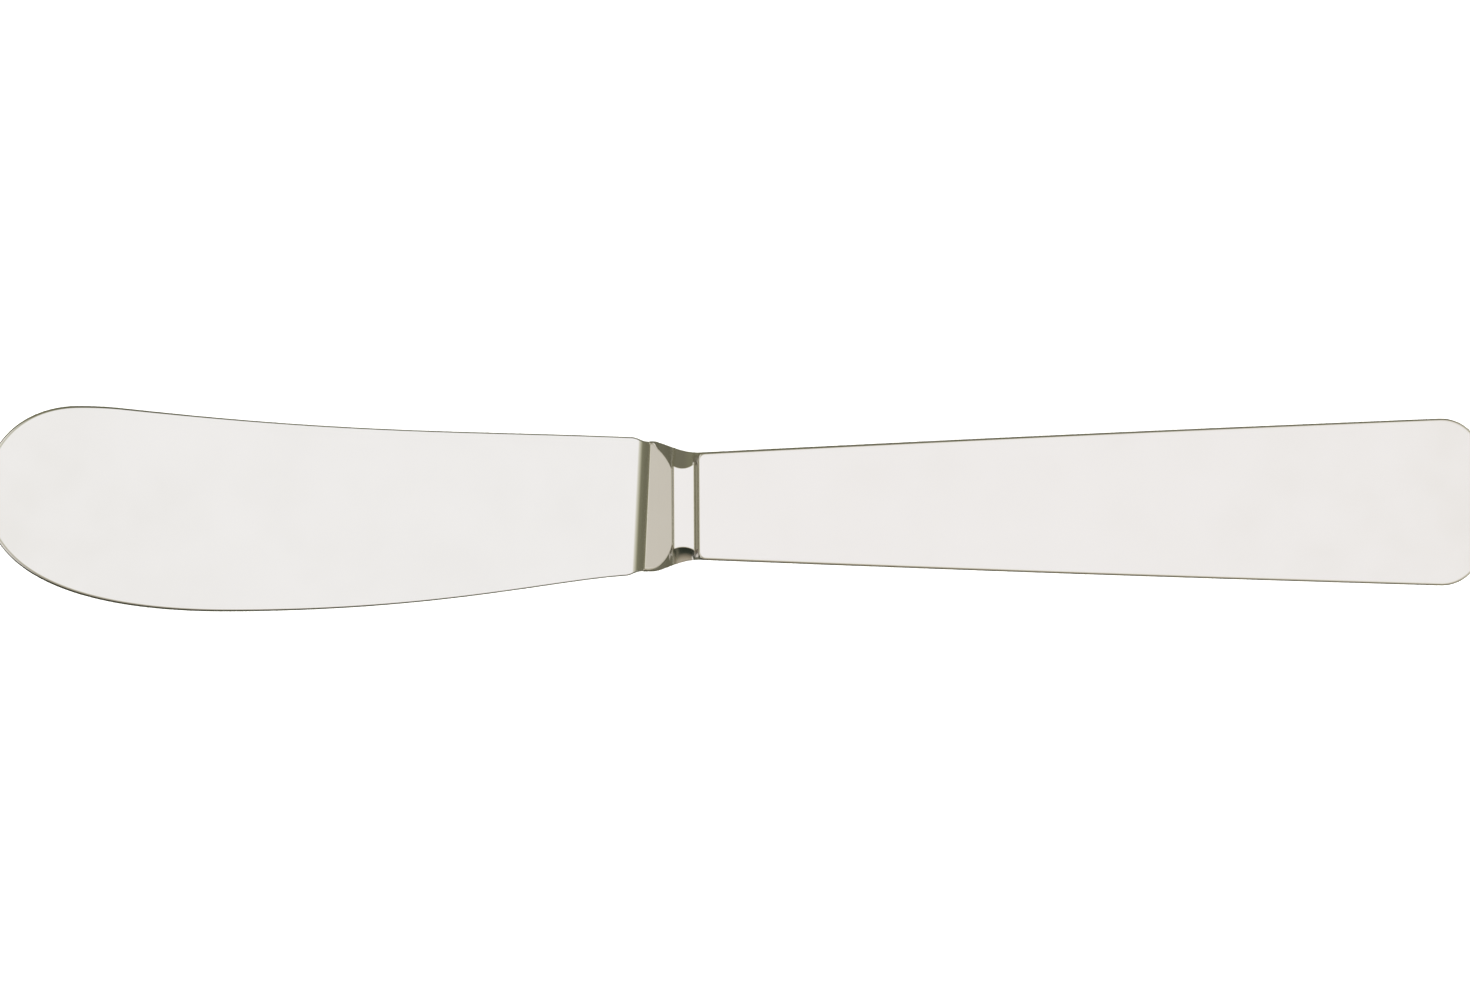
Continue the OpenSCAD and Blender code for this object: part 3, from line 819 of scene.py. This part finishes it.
def finish_material(tree, roughness, tone, height, bump, shader):
    """Ends the tree. The bump is its strength and its depth, the shader its values."""
    strength, depth = bump
    relief = add_node(tree, "ShaderNodeBump", links={"Height": height},
                      values={"Strength": strength, "Distance": depth})
    surface = add_node(tree, "ShaderNodeBsdfPrincipled", values=shader,
                       links={"Roughness": roughness, "Base Color": tone.outputs[2], "Normal": relief})
    add_node(tree, "ShaderNodeOutputMaterial", links={"Surface": surface})


def add_smears(tree, place, noise, veil, worn):
    """Handling smears and worn places, whose mask also carries painted shade on the silver plate, and the
    roughness that the two give.
    """
    smears = add_node(tree, "ShaderNodeTexNoise", links={"Vector": place},
                      values={"Scale": 1 / SMEAR_SPACING, **noise})
    wear_and_shade = add_node(tree, "ShaderNodeAttribute", attribute_name="wear_and_shade").outputs["Fac"]
    least, most = veil
    veiled = add_node(tree, "ShaderNodeMapRange", links={"Value": smears},
                      values={"From Min": 0.3, "From Max": 0.7, "To Min": least, "To Max": most})
    roughness = add_node(tree, "ShaderNodeMath", operation="MULTIPLY_ADD",
                         links={0: wear_and_shade, 2: veiled}, values={1: worn})
    return smears, wear_and_shade, roughness


def polished_steel(finish):
    """Stainless steel, ground lengthwise and then polished on a felt wheel.

    The eye sees a clear reflection, slightly veiled by cloth smears, with faint lines
    along the blade. The real lines are some 5 microns wide and are drawn 30 times that.
    """
    material, tree, place = new_material("polished_stainless_steel")
    smears, _, roughness = add_smears(tree, place, {"Detail": 3, "Roughness": 0.5},
                                      veil=(0.10, 0.15), worn=0.05)
    run = add_node(tree, "ShaderNodeMapping", links={"Vector": place},
                   values={"Scale": (1 / POLISH_LINE_L, 1 / POLISH_LINE_W, 1 / POLISH_LINE_W)})
    lines = add_node(tree, "ShaderNodeTexNoise", links={"Vector": run},
                     values={"Scale": 1, "Detail": 2})
    tone = add_node(tree, "ShaderNodeMix", data_type="RGBA", links={0: smears},
                    values={6: (*finish.steel, 1), 7: (*[c * SMEAR_SHARE for c in finish.steel], 1)})
    finish_material(tree, roughness, tone, lines,
                    bump=(0.2, POLISH_DEPTH), shader={"Metallic": 1})
    return material


def silver_plate(finish):
    """Nickel silver sheet, pressed, plated with silver and buffed with rouge.

    The eye sees a warm, soft mirror with broad handling smears and a few pinholes in the
    plate, and a duller, yellower tone on the rubbed rims and creases: tarnish, and painted shade.
    """
    material, tree, place = new_material("buffed_silver_plate")
    _, wear_and_shade, roughness = add_smears(tree, place, {"Detail": 4, "Roughness": 0.55},
                                    veil=(0.11, 0.17), worn=0.14)
    grain = add_node(tree, "ShaderNodeTexNoise", links={"Vector": place},
                     values={"Scale": 1 / BUFF_GRAIN, "Detail": 2})
    pits = add_node(tree, "ShaderNodeTexVoronoi", links={"Vector": place},
                    values={"Scale": 1 / PIT_SPACING})
    pit = add_node(tree, "ShaderNodeMapRange", links={"Value": pits.outputs["Distance"]},
                   values={"From Min": PIT_R / PIT_SPACING, "From Max": 0.5 * PIT_R / PIT_SPACING,
                           "To Min": 0, "To Max": 1})
    # Painted shade with the tarnish: rims and creases darker and yellower, by how sharply they bend
    rubbed_and_shaded = add_node(tree, "ShaderNodeMix", data_type="RGBA", links={0: wear_and_shade},
                      values={6: (*finish.silver, 1), 7: (*finish.tarnish_and_shade, 1)})
    tone = add_node(tree, "ShaderNodeMix", data_type="RGBA",
                    links={0: pit, 6: rubbed_and_shaded.outputs[2]},
                    values={7: (*[c * PIT_SHARE for c in finish.silver], 1)})
    finish_material(tree, roughness, tone, grain,
                    bump=(0.15, POLISH_DEPTH), shader={"Metallic": 1})
    return material


def grainy_material(name, base, grain, roughness, dark_share, bump, shader):
    """A material whose roughness, tone and relief all follow one grain."""
    material, tree, place = new_material(name)
    noise = add_node(tree, "ShaderNodeTexNoise", links={"Vector": place}, values=grain)
    least, most = roughness
    rough = add_node(tree, "ShaderNodeMapRange", links={"Value": noise},
                     values={"To Min": least, "To Max": most})
    tone = add_node(tree, "ShaderNodeMix", data_type="RGBA", links={0: noise},
                    values={6: (*base, 1), 7: (*[c * dark_share for c in base], 1)})
    finish_material(tree, rough, tone, noise, bump, shader)
    return material


def silver_solder(finish):
    """Silver solder, run in between the rims and filed flush: a dull, slightly grainy line."""
    return grainy_material("filed_silver_solder", finish.solder,
                           grain={"Scale": 1 / SOLDER_GRAIN, "Detail": 3}, roughness=(0.3, 0.5),
                           dark_share=0.7, bump=(0.4, 2 * POLISH_DEPTH), shader={"Metallic": 1})


def handle_cement(finish):
    """Rosin and brick dust, melted in round the tang: a brown, waxy, gritty mass."""
    return grainy_material("rosin_cement", finish.cement,
                           grain={"Scale": 1 / CEMENT_GRIT, "Detail": 5, "Roughness": 0.65},
                           roughness=(0.45, 0.8), dark_share=0.45, bump=(0.6, 0.2 * CEMENT_GRIT),
                           shader={"IOR": 1.54})


def studio_paper(finish):
    """Matte background paper, rolled out: an even white with a faint fibre."""
    return grainy_material("matte_background_paper", finish.paper,
                           grain={"Scale": 1 / PAPER_FIBRE, "Detail": 2}, roughness=(0.85, 1),
                           dark_share=0.98, bump=(0.1, 0.05 * PAPER_FIBRE),
                           shader={"Specular IOR Level": 0.1})


class KNIFE_OT_blade(bpy.types.Operator):
    """Forges the blade with its root and tang, and polishes it"""
    bl_idname = "butter_knife.blade"
    bl_label = "Forge Blade"

    def execute(self, context):
        knife = context.scene.butter_knife
        add_piece(context, "blade_forging", blade_skin(knife), polished_steel(knife.finish),
                  ["blade"])
        return {"FINISHED"}


class KNIFE_OT_shells(bpy.types.Operator):
    """Presses the two halves of the handle, and plates and buffs them"""
    bl_idname = "butter_knife.shells"
    bl_label = "Press Handle Halves"

    def execute(self, context):
        knife = context.scene.butter_knife
        plate = silver_plate(knife.finish)
        front = half_shell_skin(knife)
        add_piece(context, "front_pressing", front, plate, ["front_shell"])
        add_piece(context, "back_pressing", mirrored(front), plate, ["back_shell"])
        return {"FINISHED"}


class KNIFE_OT_seam(bpy.types.Operator):
    """Solders the two halves of the handle, rim to rim"""
    bl_idname = "butter_knife.seam"
    bl_label = "Solder Seam"

    def execute(self, context):
        knife = context.scene.butter_knife
        add_piece(context, "solder_film", seam_skin(knife), silver_solder(knife.finish),
                  ["solder_seam"])
        return {"FINISHED"}


class KNIFE_OT_core(bpy.types.Operator):
    """Gives the cement round the tang its finish"""
    bl_idname = "butter_knife.core"
    bl_label = "Pour Cement"

    def execute(self, context):
        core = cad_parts["cement_core"]
        core.data.materials.clear()
        core.data.materials.append(handle_cement(context.scene.butter_knife.finish))
        return {"FINISHED"}


def add_floor(context):
    """A round sheet of paper whose border curves up all round."""
    skin = Skin()
    previous = None
    for radius, height in arc(FLOOR_R, COVE_R, COVE_R, -math.pi / 2, 0, COVE_STEPS):
        ring = skin.add([(radius * math.cos(turn), radius * math.sin(turn), height)
                         for turn in between(0, 2 * math.pi, FLOOR_SIDES)])
        if previous:
            skin.ribbon(previous + previous[:1], ring + ring[:1], turned=True)
        else:
            skin.face(ring)
        previous = ring
    mesh = bpy.data.meshes.new("background_paper")
    mesh.from_pydata(skin.points, [], skin.faces)
    mesh.shade_smooth()
    mesh.materials.append(studio_paper(context.scene.butter_knife.finish))
    paper = bpy.data.objects.new("background_paper", mesh)
    context.scene.collection.objects.link(paper)
    # The knife mirrors the room and not the paper, as with the paper masked off
    paper.visible_glossy = False


def add_lamp(context):
    """A soft box overhead that lights the paper and doesn't show in the metal."""
    data = bpy.data.lights.new("top_light", "AREA")
    data.shape = "DISK"
    data.size = LAMP_SIZE
    data.energy = LAMP_POWER
    lamp = bpy.data.objects.new("top_light", data)
    lamp.location = LAMP_PLACE
    lamp.visible_glossy = False
    context.scene.collection.objects.link(lamp)


def add_room(context):
    """The room that the metal mirrors: a bright ceiling and olive-grey sides."""
    world = bpy.data.worlds.new("soft_studio")
    context.scene.world = world
    world.use_nodes = True
    tree = world.node_tree
    tree.nodes.clear()
    direction = add_node(tree, "ShaderNodeTexCoord").outputs["Generated"]
    parts = add_node(tree, "ShaderNodeSeparateXYZ", links={0: direction})
    from_zenith = add_node(tree, "ShaderNodeMath", operation="ARCCOSINE", links={0: parts.outputs["Z"]})
    share = add_node(tree, "ShaderNodeMath", operation="DIVIDE", links={0: from_zenith},
                     values={1: math.pi})
    ramps = []
    for stops in (SPINE_SIDE_LIGHT, TIP_SIDE_LIGHT, EDGE_SIDE_LIGHT, BUTT_SIDE_LIGHT):
        ramp = add_node(tree, "ShaderNodeValToRGB", links={0: share})
        elements = ramp.color_ramp.elements
        while len(elements) < len(stops):
            elements.new(0.5)
        for element, (degrees, hex_colour) in zip(elements, stops):
            element.position = degrees / HALF_TURN
            element.color = (*linear(hex_colour), 1)
        ramps.append(ramp)
    sky = ramps[0]
    # Each of the other sides takes over as the direction turns to it
    for ramp, (axis, begin, end) in zip(ramps[1:], (TIP_TURN, EDGE_TURN, BUTT_TURN)):
        turned = add_node(tree, "ShaderNodeMapRange", links={"Value": parts.outputs[axis]},
                          values={"From Min": begin, "From Max": end})
        sky = add_node(tree, "ShaderNodeMix", data_type="RGBA",
                       links={0: turned, 6: sky, 7: ramp}).outputs[2]
    # A tall soft box stands in each corner of the room
    box = add_node(tree, "ShaderNodeMapRange", links={"Value": parts.outputs["Z"]},
                   values={"From Min": 0, "From Max": SOFT_BOX_FOOT})
    over_nadir = add_node(tree, "ShaderNodeMath", operation="ADD",
                          links={0: parts.outputs["Z"]}, values={1: 1})
    for axis, begin, end in SOFT_BOX_BORDERS:
        slope = add_node(tree, "ShaderNodeMath", operation="DIVIDE",
                         links={0: parts.outputs[axis], 1: over_nadir})
        slope = add_node(tree, "ShaderNodeMath", operation="ABSOLUTE", links={0: slope})
        border = add_node(tree, "ShaderNodeMapRange", links={"Value": slope},
                          values={"From Min": begin, "From Max": end})
        box = add_node(tree, "ShaderNodeMath", operation="MULTIPLY", links={0: box, 1: border})
    sky = add_node(tree, "ShaderNodeMix", data_type="RGBA", links={0: box, 6: sky},
                   values={7: (*linear(SOFT_BOX_LIGHT), 1)}).outputs[2]
    light = add_node(tree, "ShaderNodeBackground", links={"Color": sky},
                     values={"Strength": ROOM_STRENGTH})
    add_node(tree, "ShaderNodeOutputWorld", links={"Surface": light})


def add_camera(context):
    """Looks straight down, as the photograph does."""
    data = bpy.data.cameras.new("camera")
    data.lens = LENS
    data.sensor_width = SENSOR_W
    camera = bpy.data.objects.new("camera", data)
    frame_w = PHOTO_W / PIXELS_PER_METRE
    camera.location = (VIEW_X, VIEW_Y, VIEW_PLANE_Z + frame_w * LENS / SENSOR_W)
    camera.rotation_euler = (0, 0, -math.radians(KNIFE_TURN))
    context.scene.collection.objects.link(camera)
    context.scene.camera = camera


class KNIFE_OT_stage(bpy.types.Operator):
    """Sets up the paper, the lights, the room and the camera"""
    bl_idname = "butter_knife.stage"
    bl_label = "Set Stage"

    def execute(self, context):
        add_floor(context)
        add_lamp(context)
        add_room(context)
        add_camera(context)
        context.scene.view_settings.view_transform = "Standard"
        return {"FINISHED"}


OPERATORS = (KNIFE_OT_blade, KNIFE_OT_shells, KNIFE_OT_seam, KNIFE_OT_core, KNIFE_OT_stage)


class KNIFE_PT_sidebar(bpy.types.Panel):
    """Lists the steps that make the knife"""
    bl_idname = "KNIFE_PT_sidebar"
    bl_label = "Butter Knife"
    bl_space_type = "VIEW_3D"
    bl_region_type = "UI"
    bl_category = "Butter Knife"

    def draw(self, context):
        for operator in OPERATORS:
            self.layout.operator(operator.bl_idname)


CLASSES = (BladeSizes, HandleSizes, NeckSizes, Finishes, KnifeSettings) + OPERATORS + (KNIFE_PT_sidebar,)


def register():
    for each in CLASSES:
        bpy.utils.register_class(each)
    bpy.types.Scene.butter_knife = PointerProperty(type=KnifeSettings)


def unregister():
    del bpy.types.Scene.butter_knife
    for each in reversed(CLASSES):
        bpy.utils.unregister_class(each)


def main():
    register()
    bpy.ops.butter_knife.blade()
    bpy.ops.butter_knife.shells()
    bpy.ops.butter_knife.seam()
    bpy.ops.butter_knife.core()
    bpy.ops.butter_knife.stage()


if __name__ == "__main__":
    main()
